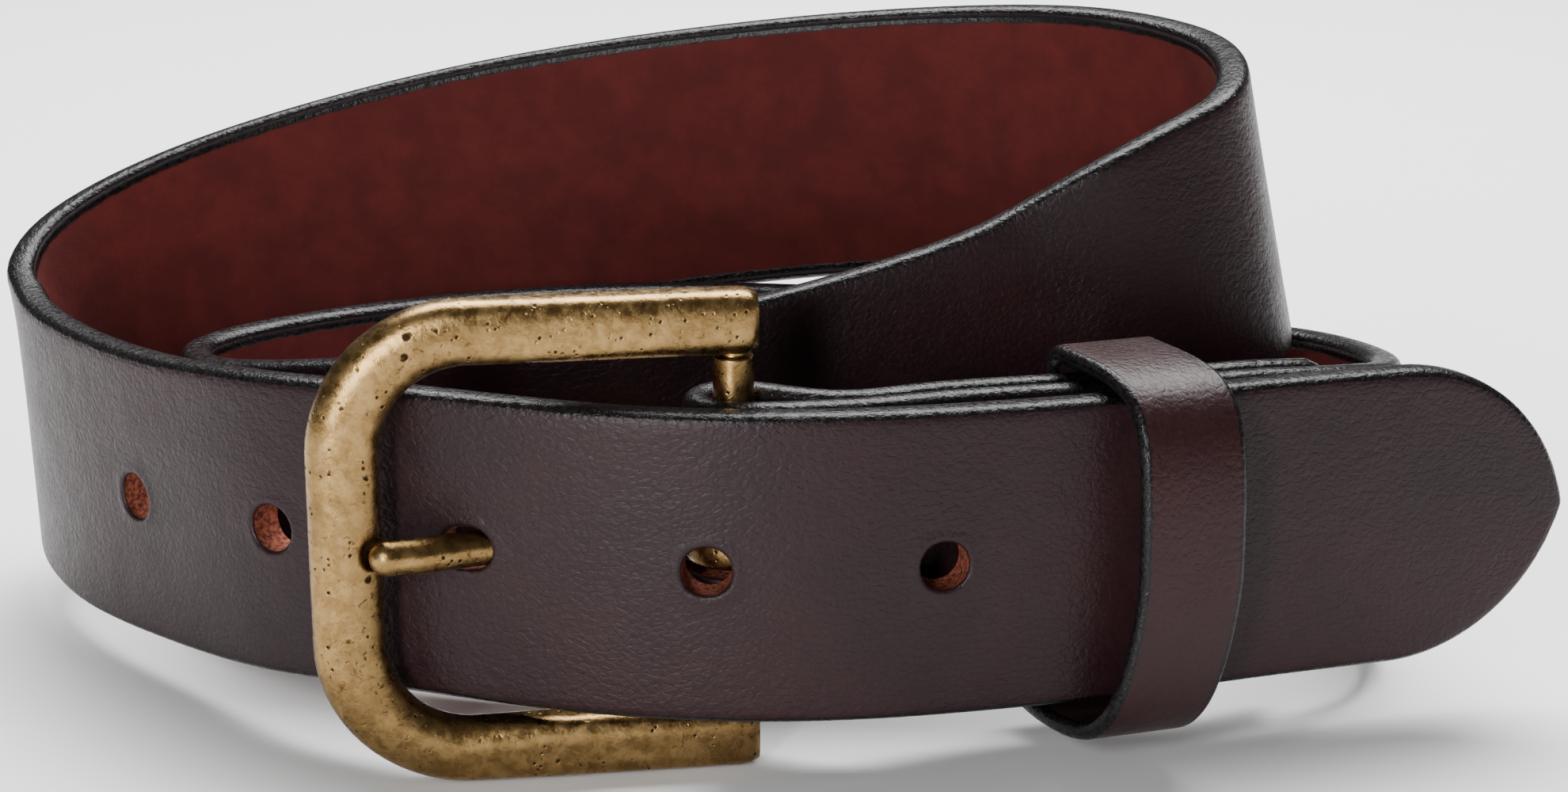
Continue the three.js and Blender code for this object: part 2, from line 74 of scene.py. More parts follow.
FRAME_HEIGHT = 55.2
BAR = (-2.5, 8, FRAME_HEIGHT / 2)   # the middle of the heel bar
BAR_RADIUS = 2.25
TENON_RADIUS = 1.4
TENON_LENGTH = 3.8
FRAME_TILT = 9
FRAME_REACH = 46.4
FRAME_TAIL = 2.5
ARM_WIDTH = 7.2
ARM_SQUARENESS = 3.1        # 2 is an ellipse, more is nearer a rectangle
FRONT_BAR_WIDTH = 7.9
FRONT_BAR_SOFTENING = 0.9   # how much rounder the front bar's section is
FRAME_DEPTH = 5.6
FRAME_CORNER = 17
FRAME_END_ROUNDING = 0.16   # share of the section lost at the arms' ends
ARM_STEPS = 34
CORNER_STEPS = 26
SECTION_STEPS = 56
SOFTENING_FROM = 20         # the softening starts this far from the heel bar
SOFTENING_OVER = 16         # and comes in over this length
PRONG_RADIUS = 2
NOTCH_RADIUS = PRONG_RADIUS + 0.4
PRONG_FLAT = 60             # degrees between the flats filed along the prong
PRONG_FILING = 0.65         # 0 leaves the shank round, 1 cuts the flats straight
FLAT_REACH = 0.975          # distance of a flat from the middle, as a share of the radius
EYE_HEIGHT = 4
EYE_WALL = 2.9
EYE_DROP = 1.2              # how far the prong's eye hangs below the bar's middle
NOTCH_FRONT = -3.3
NOTCH_FROM = -38.6
FOLD_HEIGHT = 26            # the strap's middle line at the fold
FOLD_SLOT_HEIGHT = 5.4
FOLD_SLOT_REACH = 9

# The hole in use is stretched by the prong, and its walls slant with it
PRONG_HOLE_X = -30
USED_HOLE_SHIFT = 1.1
USED_HOLE_RISE = 0.4
USED_HOLE_RADIUS = PRONG_RADIUS + 0.45
USED_HOLE_HALF = 0.5
USED_HOLE_TAIL = 6.9

KEEPER_CENTRE = (41, 12.7, 24.8)
KEEPER_TURN = 18
KEEPER_WIDTH = 12.3
KEEPER_THICK = 2
KEEPER_ROLL = 0.9           # rounding of its edges
KEEPER_HALF_HEIGHT = 20.3
KEEPER_BACK = 8.8
KEEPER_FRONT = 12.5
KEEPER_CORNER = 2.6
KEEPER_SHOULDER = 10.5
KEEPER_CROWN = 1            # bulge of its upper and lower turns
KEEPER_STEPS = 180
KEEPER_UPRIGHT = 2          # depth of the back wall, which doesn't lean
KEEPER_LEAN = 2.5           # the front wall lies further towards the tip
KEEPER_DROOP = 3.8          # and its lower end hangs back towards the buckle

SCREW_STATIONS = (26, 56.5)
SCREW_HEAD_RADIUS = 4
SCREW_CROWN_RADIUS = 2.8
SCREW_HEAD = 0.9
SCREW_RIM = 0.4
SCREW_END_GAP = 1
SCREW_SLOT = 0.5            # half its width, and its depth
SCREW_ROUNDING = 0.2
SCREW_POST_RADIUS = 2.4
SCREW_SHANK_RADIUS = 1.3
PLY_SPACING = SKIVED_THICK + 0.4
STAPLE_RADIUS = 0.5
STAPLE_SPAN = 7
STAPLE_BEND = 0.6
STAPLE_START = 0.2          # its legs begin this far from the wall's inner face
TURNED_SIDES = 48
WIRE_SIDES = 14

# Camera and studio, millimetres for the camera and metres for the rest
CAMERA_PLACE = (2.99, -321.2, 144.9)
CAMERA_DIP = 17.2
CAMERA_SENSOR = 36
CAMERA_LENS = 72.8
FLOOR_SIZE = 6
FLOOR_DROP = 0.0002
WORLD_STRENGTH = 0.16

# The strap's middle line, from the tip to the fold: place, lean of its wall in degrees
# and thickness.
FRONT_AND_COILS = [
    (92.8, 27.9, 24.4, 0, STRAP_THICK),
    (60, 15.5, 25.5, 1, STRAP_THICK),
    (30, 5.2, 25.8, 1, STRAP_THICK),
    (5.5, 0, 26.2, 1, STRAP_THICK),
    (-15, 1.3, 26.3, 1, STRAP_THICK),
    (-43, 9.8, 26.5, 1, STRAP_THICK),
    (-54.5, 15.8, 25.7, 0.7, STRAP_THICK),
    (-68.3, 28.7, 23.9, -0.8, STRAP_THICK),
    (-81.9, 44.6, 23, 0, STRAP_THICK),
    (-89.4, 57.7, 23.5, -1.8, STRAP_THICK),
    (-91.3, 66.4, 25, -2.5, STRAP_THICK),
    (-89.7, 73.5, 27.7, -3.5, STRAP_THICK),
    (-83.7, 80.6, 31.5, -5.2, STRAP_THICK),
    (-68.7, 88.5, 37, -7.4, STRAP_THICK),
    (-36.5, 95, 44.8, -7.6, STRAP_THICK),
    (8.5, 94, 51.4, -4.5, STRAP_THICK),
    (41.5, 85.5, 54.2, 1.5, STRAP_THICK),
    (56.7, 71, 54.2, 8, STRAP_THICK),
    (60.3, 57, 53.3, 11.5, STRAP_THICK),
    (57.7, 46.5, 51.2, 10, STRAP_THICK),
    (48.5, 40.2, 47, 6, STRAP_THICK),
    (32.5, 37, 38.6, 4, STRAP_THICK),
    (7.5, 32.5, 31.3, 3, STRAP_THICK),
    (-21, 30, 26, 0, STRAP_THICK),
    (-46, 33, 22.3, -1, STRAP_THICK),
    (-65.5, 44.5, 18.8, 0, STRAP_THICK),
    (-69, 58, 17.5, 0, STRAP_THICK),
    (-48, 75, 17.5, 0, STRAP_THICK),
    (-13.5, 84, 17.5, 0, STRAP_THICK),
    (22, 79.5, 17.5, 0, STRAP_THICK),
    (50, 69.5, 17.5, 0, STRAP_THICK),
    (68.5, 58, 18.3, 0, STRAP_THICK),
    (74, 41, 20.5, 0, STRAP_THICK),
    (71.5, 30.5, 22.3, 0, 3.6),
    (64.5, 23.5, 24.1, 0, SKIVED_THICK),
]
UNDERLAP = [
    (57, 19.9, 25, 0, SKIVED_THICK),
    (50, 17.2, 25.3, 0, SKIVED_THICK),
    (38, 13.6, 25.5, 0, SKIVED_THICK),
    (22, 8.9, 25.9, 0, SKIVED_THICK),
    (10, 5.1, 26, 0, SKIVED_THICK),
]
TURNBACK_END = (63.5, 22.9, 24.2, 0, SKIVED_THICK)
UNDERLAP_START = len(FRONT_AND_COILS) - 1
FOLD_START = len(FRONT_AND_COILS) + len(UNDERLAP)
FOLD_STEPS = 5

# The prong's middle line in the buckle's own frame: front bar towards -X, front at -Y
PRONG_LINE = [
    (-3.2, 1.2, -EYE_DROP), (-8, 2, -EYE_DROP), (-13, 2.5, -1.15),
    (-18, 2.5, -1.05), (-23, 1.9, -0.9), (-27.5, 0.6, -0.7),
    (-31.5, -1.1, -0.45), (-35, -2.5, -0.2), (-38.1, NOTCH_FRONT, 0),
]

bar_low, bar_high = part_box("heel_bar")
SHIFT = np.array((bar_low + bar_high) / 2) * 1000 - np.array(BAR)


# Camera: the photograph's viewing angle
def make_camera():
    data = bpy.data.cameras.new("camera")
    data.sensor_width = CAMERA_SENSOR
    data.lens = CAMERA_LENS
    camera = bpy.data.objects.new("camera", data)
    bpy.context.scene.collection.objects.link(camera)
    camera.location = (np.array(CAMERA_PLACE) + SHIFT) * 0.001
    camera.rotation_euler = Euler((math.radians(90 - CAMERA_DIP), 0, 0))
    bpy.context.scene.camera = camera


make_camera()


# Meshes
def new_mesh(name, points, faces, smooth=True, place=None):
    """A mesh object from millimetre points of the drawing frame, or of a piece's own frame."""
    points = np.asarray(points, float)
    if place is not None:
        points = points @ place[0].T + place[1]
    mesh = bpy.data.meshes.new(name)
    mesh.from_pydata(((points + SHIFT) * 0.001).tolist(), [], faces)
    if smooth:
        mesh.polygons.foreach_set("use_smooth", [True] * len(mesh.polygons))
    mesh.update()
    piece = bpy.data.objects.new(name, mesh)
    bpy.context.scene.collection.objects.link(piece)
    return piece


def turn_about_z(degrees):
    a = math.radians(degrees)
    return np.array([[math.cos(a), -math.sin(a), 0], [math.sin(a), math.cos(a), 0], [0, 0, 1]])


def unit(v):
    return v / np.linalg.norm(v, axis=-1, keepdims=True)


def loft(rings, looped=False):
    """All points of equal rings, and the faces that join them and close the two ends."""
    corners = len(rings[0])
    count = len(rings)
    faces = []
    for i in range(count if looped else count - 1):
        here, after = i * corners, ((i + 1) % count) * corners
        for j in range(corners):
            k = (j + 1) % corners
            faces.append((here + j, here + k, after + k, after + j))
    if not looped:
        faces.append(tuple(reversed(range(corners))))
        faces.append(tuple(range((count - 1) * corners, count * corners)))
    return np.concatenate(rings), faces


def face_outward(piece):
    """Turns every face of a closed mesh outwards."""
    work = bmesh.new()
    work.from_mesh(piece.data)
    bmesh.ops.recalc_face_normals(work, faces=work.faces)
    work.to_mesh(piece.data)
    work.free()


def vertex_values(piece, name, values):
    values = np.asarray(values, np.float32)
    kind = "FLOAT" if values.ndim == 1 else "FLOAT_VECTOR"
    key = "value" if values.ndim == 1 else "vector"
    attribute = piece.data.attributes.new(name, kind, "POINT")
    attribute.data.foreach_set(key, values.ravel())


# The strap's route
def catmull_rom(points, u, power):
    """Catmull-Rom through points at u, in stations; power 0.5 is centripetal, 0 uniform."""
    padded = np.vstack([2 * points[0] - points[1], points, 2 * points[-1] - points[-2]])
    u = np.clip(u, 0, len(points) - 1)
    i = np.minimum(u.astype(int), len(points) - 2)
    f = (u - i)[:, None]
    p0, p1, p2, p3 = (padded[i + k] for k in range(4))
    d0, d1, d2 = (
        np.linalg.norm(b - a, axis=1, keepdims=True) ** power if power else np.ones_like(f)
        for a, b in ((p0, p1), (p1, p2), (p2, p3))
    )
    if power:
        t1 = ((p1 - p0) / d0 - (p2 - p0) / (d0 + d1) + (p2 - p1) / d1) * d1
        t2 = ((p2 - p1) / d1 - (p3 - p1) / (d1 + d2) + (p3 - p2) / d2) * d1
    else:
        t1, t2 = (p2 - p0) / 2, (p3 - p1) / 2
    c2 = -3 * p1 + 3 * p2 - 2 * t1 - t2
    c3 = 2 * p1 - 2 * p2 + t1 + t2
    return p1 + f * (t1 + f * (c2 + f * c3))


class Route:
    """The strap's middle line, measured by the distance s from the tip."""

    def __init__(self, stations):
        stations = np.array(stations, float)
        self.points, self.extras = stations[:, :3], stations[:, 3:]
        self.u = np.linspace(0, len(stations) - 1, 60 * (len(stations) - 1) + 1)
        steps = np.diff(catmull_rom(self.points, self.u, 0.5), axis=0)
        self.s = np.concatenate([[0], np.cumsum(np.linalg.norm(steps, axis=1))])
        self.length = self.s[-1]

    def at(self, s):
        u = np.interp(s, self.s, self.u)
        origin = catmull_rom(self.points, u, 0.5)
        origin[:, 2] = np.maximum(origin[:, 2], STRAP_WIDTH / 2)
        ahead = catmull_rom(self.points, np.minimum(u + 0.002, self.u[-1]), 0.5)
        behind = catmull_rom(self.points, np.maximum(u - 0.002, 0), 0.5)
        along = unit(ahead - behind)
        lean, thick = catmull_rom(self.extras, u, 0).T
        up = np.array([0, 0, 1.0])
        upright = unit(up - along * along[:, 2:3])
        inward = np.cross(along, upright)
        lean = np.radians(lean)[:, None]
        width = upright * np.cos(lean) + inward * np.sin(lean)
        outward = -np.cross(along, width)
        return origin, along, width, outward, thick

    def place(self, s, w, h):
        """Points at s along, w across and h out of the middle surface."""
        origin, _, width, outward, _ = self.at(np.asarray(s, float))
        return origin + width * np.asarray(w)[:, None] + outward * np.asarray(h)[:, None]

    def at_x(self, x, first, last):
        """s where the line passes X between two stations."""
        s = np.linspace(*np.interp([first, last], self.u, self.s), 4000)
        u = np.interp(s, self.s, self.u)
        return s[np.argmin(np.abs(catmull_rom(self.points, u, 0.5)[:, 0] - x))]

    def of_station(self, station):
        return float(np.interp(station, self.u, self.s))


def fold_stations():
    radius = BAR_RADIUS + GAP + SKIVED_THICK / 2
    angles = np.radians(np.linspace(-90, -270, FOLD_STEPS + 1))
    return [
        (BAR[0] + radius * math.cos(a), BAR[1] + radius * math.sin(a), FOLD_HEIGHT, 0, SKIVED_THICK)
        for a in angles
    ]


def turnback_stations():
    turn = math.radians(KEEPER_TURN)
    return [
        (x - PLY_SPACING * math.sin(turn), y + PLY_SPACING * math.cos(turn), z, lean, thick)
        for x, y, z, lean, thick in [*reversed(UNDERLAP), TURNBACK_END]
    ]


route = Route([*FRONT_AND_COILS, *UNDERLAP, *fold_stations(), *turnback_stations()])


# The strap: a flat pattern of rows along and columns across, with a ring of smaller and
# smaller loops round each hole, lifted to the grain and the flesh side and closed by a
# rolled edge and by the walls of the holes. Columns are shares of the half width, and a
# hole's loops lie between the two patch columns.
COLUMNS = np.array([-1, -0.93, -0.82, -0.68, -0.53, -0.3731, -0.25, -0.125, 0,
                    0.125, 0.25, 0.3731, 0.53, 0.68, 0.82, 0.93, 1])
PATCH_COLUMNS = (5, 11)
HALF_FACE = STRAP_WIDTH / 2 - EDGE_ROLL
RING_SHARES = (0.3, 0.55, 0.74, 0.86, 0.93, 0.97, 1)
TIP_HALF = 1.6              # half-width of the first row
FAR_FROM_EDGE = 5.0


class Hole:
    """A round or long hole: middle at (s, w), straight part 2 * half, end radius.

    On the flesh side it is longer by a tail, towards the strap's tip.
    """

    def __init__(self, s, w=0.0, radius=HOLE_RADIUS, half=0.0, tail=0.0, step=HOLE_ROW_STEP, rim=HOLE_RIM):
        self.s, self.w = s, w
        self.radius, self.half, self.tail, self.rim = radius, half, tail, rim
        reach = half + radius + HOLE_MARGIN
        count = 2 * max(3, round((reach + tail / 2) / step))
        self.rows = np.linspace(s - reach - tail, s + reach, count + 1)

    def nearest(self, s, w, tail=0.0):
        """The point of the hole's outline nearest to (s, w)."""
        centre = self.s + np.clip(s - self.s, -self.half - tail, self.half)
        ds, dw = s - centre, w - self.w
        scale = self.radius / math.hypot(ds, dw)
        return centre + ds * scale, self.w + dw * scale


def row_positions(length, holes, start):
    """Row positions along the strap: exact over the holes, evenly spaced between."""
    fixed = sorted(holes, key=lambda hole: hole.s)
    rows = [start]
    spans = [(h.rows[0], h.rows[-1], h.rows) for h in fixed] + [(length, length, [length])]
    for low, _, own in spans:
        while rows[-1] < low - 1e-6:
            near_tip = rows[-1] < TIP_LENGTH
            left = low - rows[-1]
            step = TIP_ROW_STEP if near_tip else ROW_STEP
            if left < EVEN_STRETCH:
                step = left / max(1, round(left / step))
            rows.append(rows[-1] + step)
        rows[-1] = own[0]
        rows.extend(own[1:])
    return np.array(rows)


def tip_half_width(s, inset):
    """Half-width of the pattern near the tip, measured inset from the strap's outline."""
    reach = STRAP_WIDTH / 2
    radius = (TIP_LENGTH ** 2 + reach ** 2) / (2 * reach)
    inner = np.maximum((radius - inset) ** 2 - (TIP_LENGTH - np.minimum(s, TIP_LENGTH)) ** 2, 0)
    return np.sqrt(inner) - (radius - reach)


def tip_start(inset, half_width):
    """s at which the inset outline near the tip is half_width from the middle."""
    reach = STRAP_WIDTH / 2
    radius = (TIP_LENGTH ** 2 + reach ** 2) / (2 * reach)
    return TIP_LENGTH - np.sqrt((radius - inset) ** 2 - (radius - reach + half_width) ** 2)


def swell(gap, rim):
    """Height of the grain near a hole's outline: a raised rim, and a lip that rolls in."""
    raised = rim * math.exp(-((gap - RIM_PLACE) / RIM_SPREAD) ** 2)
    return raised - LIP_DEPTH * math.exp(-gap / LIP_SPREAD)


class Pattern:
    """Points (s, w) of the flat strap with their rim height, and the quads between them."""

    def __init__(self, holes):
        self.s, self.w, self.rim = [], [], []
        self.under = {}
        self.faces, self.hole_loops = [], []
        end = route.length - EDGE_ROLL
        rows = row_positions(end, holes, float(tip_start(EDGE_ROLL, TIP_HALF)))
        grid = np.zeros((len(rows), len(COLUMNS)), int)
        for i, s in enumerate(rows):
            half = min(HALF_FACE, float(tip_half_width(s, EDGE_ROLL)))
            for j, column in enumerate(COLUMNS):
                w = column * half
                along = float(tip_start(EDGE_ROLL, abs(w))) if i == 0 else s
                grid[i, j] = self.add(along, w)
        taken = np.zeros((len(rows) - 1, len(COLUMNS) - 1), bool)
        for hole in holes:
            top = int(np.argmin(np.abs(rows - hole.rows[0])))
            bottom = int(np.argmin(np.abs(rows - hole.rows[-1])))
            taken[top:bottom, PATCH_COLUMNS[0]:PATCH_COLUMNS[1]] = True
            self.patch(grid, top, bottom, hole)
        for i, j in zip(*np.nonzero(~taken)):
            self.faces.append((grid[i, j], grid[i, j + 1], grid[i + 1, j + 1], grid[i + 1, j]))
        self.outline = [
            *grid[0, :-1], *grid[:-1, -1], *grid[-1, :0:-1], *grid[:0:-1, 0],
        ]

    def add(self, s, w, rim=0.0):
        self.s.append(s)
        self.w.append(w)
        self.rim.append(rim)
        return len(self.s) - 1

    def patch(self, grid, top, bottom, hole):
        """Loops from the grid's rows and columns round a hole to its outline."""
        left, right = PATCH_COLUMNS
        around = [
            *grid[top, left:right], *grid[top:bottom, right],
            *grid[bottom, right:left:-1], *grid[bottom:top:-1, left],
        ]
        targets = [hole.nearest(self.s[v], self.w[v]) for v in around]
        under_targets = [hole.nearest(self.s[v], self.w[v], hole.tail) for v in around]
        loop = around
        for share in RING_SHARES:
            ring = []
            for v, (s, w), under in zip(around, targets, under_targets):
                from_s, from_w = self.s[v], self.w[v]
                gap = math.hypot(s - from_s, w - from_w) * (1 - share)
                ring.append(self.add(
                    from_s + share * (s - from_s), from_w + share * (w - from_w), swell(gap, hole.rim)))
                self.under[ring[-1]] = (
                    from_s + share * (under[0] - from_s), from_w + share * (under[1] - from_w))
            for k in range(len(loop)):
                n = (k + 1) % len(loop)
                self.faces.append((loop[k], loop[n], ring[n], ring[k]))
            loop = ring
        self.hole_loops.append(loop)


def strap_holes():
    in_use = route.at_x(PRONG_HOLE_X, 4, 5)
    holes = [Hole(in_use + count * HOLE_PITCH) for count in (-2, -1, 1, 2)]
    holes.append(Hole(
        in_use + USED_HOLE_SHIFT, USED_HOLE_RISE, USED_HOLE_RADIUS, USED_HOLE_HALF, USED_HOLE_TAIL))
    fold_middle = route.of_station(FOLD_START + FOLD_STEPS / 2)
    radius = BAR_RADIUS + GAP + SKIVED_THICK / 2
    reach = math.pi / 2 * radius + FOLD_SLOT_REACH
    eye_level = BAR[2] - EYE_DROP - FOLD_HEIGHT
    holes.append(Hole(fold_middle, eye_level, FOLD_SLOT_HEIGHT / 2, reach, step=0.9, rim=0.05))
    screw_ends = [(UNDERLAP_START - 1, FOLD_START - 1), (FOLD_START + FOLD_STEPS, len(route.points) - 1)]
    for x in SCREW_STATIONS:
        s = route.at_x(x, *screw_ends[0])
        _, _, _, outward, _ = route.at(np.array([s]))
        origin = route.place([s], [0], [0])[0] - outward[0] * PLY_SPACING
        back = route.at_x(origin[0], *screw_ends[1])
        holes.extend(Hole(place, radius=SCREW_POST_RADIUS + GAP, rim=0) for place in (s, back))
    return holes


class Skin:
    """The strap's surface: points, faces, and the values that its leather reads at each point."""

    def __init__(self):
        self.points, self.faces = [], []
        self.values = {"flat": [], "edge": [], "side": [], "wall": []}
        self.count = 0

    def add(self, s, w, height, flat, edge, side, wall):
        """Adds points at a height over the pattern and gives their numbers."""
        self.points.append(route.place(s, w, height))
        self.values["flat"].append(np.stack(flat, 1))
        for name, value in (("edge", edge), ("side", side), ("wall", wall)):
            self.values[name].append(np.full(len(s), value, float))
        self.count += len(s)
        return np.arange(self.count - len(s), self.count)

    def band(self, here, after):
        """Joins two loops of points."""
        quads = np.stack([here, np.roll(here, -1), np.roll(after, -1), after], 1)
        self.faces += quads.tolist()

    def close(self, loop, grain, flesh, half, is_edge):
        """Joins the two faces along a loop, by the rolled edge or by the wall of a hole."""
        here, depth = grain[loop], half[loop]
        out = out_of_leather(here, is_edge)
        profile = edge_profile(depth) if is_edge else wall_profile(depth)
        before = loop
        for reach, height in profile:
            sunk = ((depth - height) / (2 * depth))[:, None]
            s, w = (here + sunk * (flesh[loop] - here) + out * reach).T
            to_edge = max(EDGE_ROLL - reach, 0) if is_edge else FAR_FROM_EDGE
            side, wall = (0.5, 0) if is_edge else (1, 1)
            now = self.add(s, w, height, (s, w, height), to_edge, side, wall)
            self.band(before, now)
            before = now
        self.band(before, loop + len(grain))


def out_of_leather(loop, is_edge):
    """Unit directions across a loop of the pattern, past the strap's edge or into a hole."""
    step = np.roll(loop, -1, 0) - np.roll(loop, 1, 0)
    out = unit(np.stack([-step[:, 1], step[:, 0]], 1))
    away = np.sum(out * (loop - loop.mean(0)), 1).mean()
    return out if (away > 0) == is_edge else -out


def make_strap():
    pattern = Pattern(strap_holes())
    grain = np.stack([pattern.s, pattern.w], 1)
    flesh = grain.copy()
    flesh[list(pattern.under)] = list(pattern.under.values())
    quads = np.array(pattern.faces)
    used = np.zeros(len(grain), bool)
    used[quads] = True
    new = np.cumsum(used) - 1
    grain, flesh, rim, quads = grain[used], flesh[used], np.array(pattern.rim)[used], new[quads]
    s, w = grain.T
    half = route.at(s)[4] / 2
    half_width = np.minimum(HALF_FACE, tip_half_width(s, EDGE_ROLL))
    to_edge = EDGE_ROLL + np.minimum(half_width - np.abs(w), route.length - EDGE_ROLL - s)
    skin = Skin()
    skin.add(s, w, half + rim, (s, w, half), to_edge, 0, 0)
    s, w = flesh.T
    skin.add(s, w, -half - rim * FLESH_RIM, (s, w + FLESH_OFFSET, -half), to_edge, 1, 0)
    skin.faces += quads.tolist() + (quads + len(grain))[:, ::-1].tolist()
    skin.close(new[pattern.outline], grain, flesh, half, is_edge=True)
    for loop in pattern.hole_loops:
        skin.close(new[loop], grain, flesh, half, is_edge=False)
    strap = new_mesh("strap_leather", np.concatenate(skin.points), skin.faces)
    for name, values in skin.values.items():
        vertex_values(strap, name, np.concatenate(values))
    face_outward(strap)
    return strap


def edge_profile(half):
    """(reach outwards, height) steps of the rolled edge, from the grain to the flesh side."""
    steps = []
    radius = np.minimum(EDGE_ROLL, half - EDGE_FLAT)
    for angle in (20, 42, 64, 84):
        a = math.radians(angle)
        steps.append((EDGE_ROLL * math.sin(a), half - radius * (1 - math.cos(a))))
    steps.append((EDGE_ROLL * EDGE_CROWN, half * 0))
    return steps + [(reach, -height) for reach, height in reversed(steps[:-1])]


def wall_profile(half):
    """The same for the wall of a hole, which is a little wider halfway down."""
    heights = (0.82, 0.5, 0.1, -0.35, -0.75, -0.95)
    widening = (0.05, 0.12, 0.16, 0.14, 0.08, 0.0)
    return [(-wider, half * height) for height, wider in zip(heights, widening)]


strap = make_strap()


# The buckle, in its own frame: heel bar along Z through the origin, front at -Y
BUCKLE_PLACE = (turn_about_z(FRAME_TILT), np.array(BAR, float))


def frame_outline():
    """(outer point, inner point) pairs in XZ round the C, from the top arm's end."""
    top = FRAME_HEIGHT / 2
    corner_x = FRAME_CORNER - FRAME_REACH
    inner_radius = FRAME_CORNER - ARM_WIDTH
    inner_x = inner_radius + FRONT_BAR_WIDTH - FRAME_REACH
    corner_z, inner_z = top - FRAME_CORNER, top - ARM_WIDTH - inner_radius
    half = []
    for f in np.linspace(0, 1, ARM_STEPS):
        half.append(((FRAME_TAIL + f * (corner_x - FRAME_TAIL), top),
                     (FRAME_TAIL + f * (inner_x - FRAME_TAIL), top - ARM_WIDTH)))
    for a in np.radians(np.linspace(90, 180, CORNER_STEPS))[1:]:
        half.append(((corner_x + FRAME_CORNER * math.cos(a), corner_z + FRAME_CORNER * math.sin(a)),
                     (inner_x + inner_radius * math.cos(a), inner_z + inner_radius * math.sin(a))))
    for f in np.linspace(1, 0, ARM_STEPS)[1:]:
        half.append(((-FRAME_REACH, corner_z * f), (FRONT_BAR_WIDTH - FRAME_REACH, inner_z * f)))
    mirrored = [((a, -b), (c, -d)) for (a, b), (c, d) in reversed(half[:-1])]
    return half + mirrored


def make_frame():
    angles = np.linspace(0, 2 * math.pi, SECTION_STEPS, endpoint=False)
    rings = []
    pairs = frame_outline()
    for i, (outer, inner) in enumerate(pairs):
        outer, inner = np.array(outer), np.array(inner)
        middle, across = (outer + inner) / 2, (outer - inner) / 2
        from_end = min(i, len(pairs) - 1 - i)
        round_off = max(0, 1 - from_end / 2) ** 2 * FRAME_END_ROUNDING
        bar_share = np.clip((-middle[0] - SOFTENING_FROM) / SOFTENING_OVER, 0, 1)
        power = 2 / (ARM_SQUARENESS - FRONT_BAR_SOFTENING * bar_share)
        depth = FRAME_DEPTH / 2 * (1 - round_off)
        c, sn = np.cos(angles), np.sin(angles)
        a = np.sign(c) * np.abs(c) ** power * (1 - round_off)
        b = np.sign(sn) * np.abs(sn) ** power * depth
        points = np.stack([middle[0] + a * across[0], b, middle[1] + a * across[1]], 1)
        rings.append(points)
    points, faces = loft(rings)
    x, y, z = points.T
    # The notch that the prong's tip rests in
    ahead = np.clip(NOTCH_FROM - x, 0, None)
    inside = NOTCH_RADIUS ** 2 - z ** 2 - ahead ** 2
    floor = NOTCH_FRONT + np.sqrt(np.maximum(inside, 0))
    points[:, 1] = np.where((inside > 0) & (y < 0), np.maximum(y, floor), y)
    piece = new_mesh("frame_cast", points, faces, place=BUCKLE_PLACE)
    face_outward(piece)
    return piece


def turned(name, profile, place):
    """A closed solid of (radius, height) turned about Z."""
    rings = []
    for radius, height in profile:
        a = np.linspace(0, 2 * math.pi, TURNED_SIDES, endpoint=False)
        r = max(radius, 1e-3)
        rings.append(np.stack([r * np.cos(a), r * np.sin(a), np.full(TURNED_SIDES, height)], 1))
    points, faces = loft(rings)
    piece = new_mesh(name, points, faces, place=place)
    face_outward(piece)
    return piece


def rounded(profile, radius=0.25, steps=4):
    """The profile with every corner rounded except its two ends."""
    result = [profile[0]]
    for before, corner, after in zip(profile, profile[1:], profile[2:]):
        before, corner, after = (np.array(p, float) for p in (before, corner, after))
        into, away = before - corner, after - corner
        r = min(radius, 0.45 * np.linalg.norm(into), 0.45 * np.linalg.norm(away))
        a, b = corner + unit(into) * r, corner + unit(away) * r
        for f in np.linspace(0, 1, steps + 1):
            result.append(tuple((1 - f) ** 2 * a + 2 * f * (1 - f) * corner + f ** 2 * b))
    return [*result, profile[-1]]


def make_heel_bar():
    shoulder = FRAME_HEIGHT / 2 - ARM_WIDTH - GAP
    end = shoulder + TENON_LENGTH
    profile = [
        (0, -end), (TENON_RADIUS, -end), (TENON_RADIUS, -shoulder), (BAR_RADIUS, -shoulder),
        (BAR_RADIUS, shoulder), (TENON_RADIUS, shoulder), (TENON_RADIUS, end), (0, end),
    ]
    return turned("heel_post", rounded(profile), BUCKLE_PLACE)


